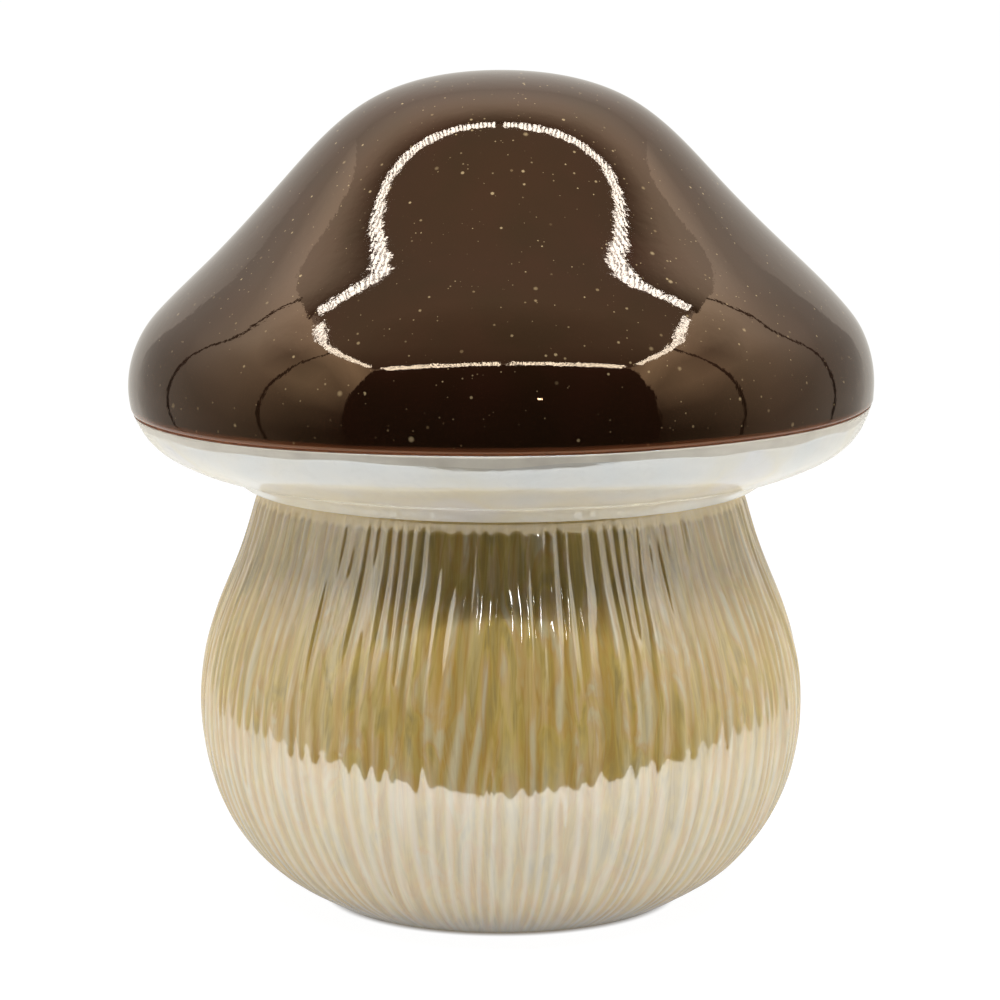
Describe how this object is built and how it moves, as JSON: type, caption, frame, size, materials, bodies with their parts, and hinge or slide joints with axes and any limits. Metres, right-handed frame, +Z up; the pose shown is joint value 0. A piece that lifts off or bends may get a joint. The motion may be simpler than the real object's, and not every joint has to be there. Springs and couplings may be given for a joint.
{
  "type": "ceramic mushroom ornament",
  "caption": "Hollow slip-cast mushroom: glossy brown domed cap, pearl underside and a pear-shaped fluted lustre stem that stands free on a shelf.",
  "frame": {"origin": "centre of the base on the surface that the ornament stands on", "axes": "+Z up along the turning axis, -Y towards the viewer, +X to the viewer's right"},
  "size_m": [0.1786, 0.1786, 0.2],
  "materials": {
    "brown_glaze": "high-gloss chocolate brown glaze with fine tan speckles",
    "pearl_glaze": "glossy pearl-white lustre glaze with faint brushed wrinkles",
    "champagne_lustre": "glossy champagne-gold pearl lustre over carved flutes",
    "rust_slip": "fired slip, rust brown where the glaze thins over it",
    "buff_slip": "fired slip, buff",
    "felt": "pressed cream felt"
  },
  "bodies": {
    "root": {"cap_dome": "brown_glaze", "cap_underside": "pearl_glaze", "rim_slip_ring": "rust_slip", "stem_body": "champagne_lustre", "neck_slip_ring": "buff_slip", "felt_pad_1": "felt", "felt_pad_2": "felt", "felt_pad_3": "felt", "felt_pad_4": "felt"}
  },
  "joints": []
}
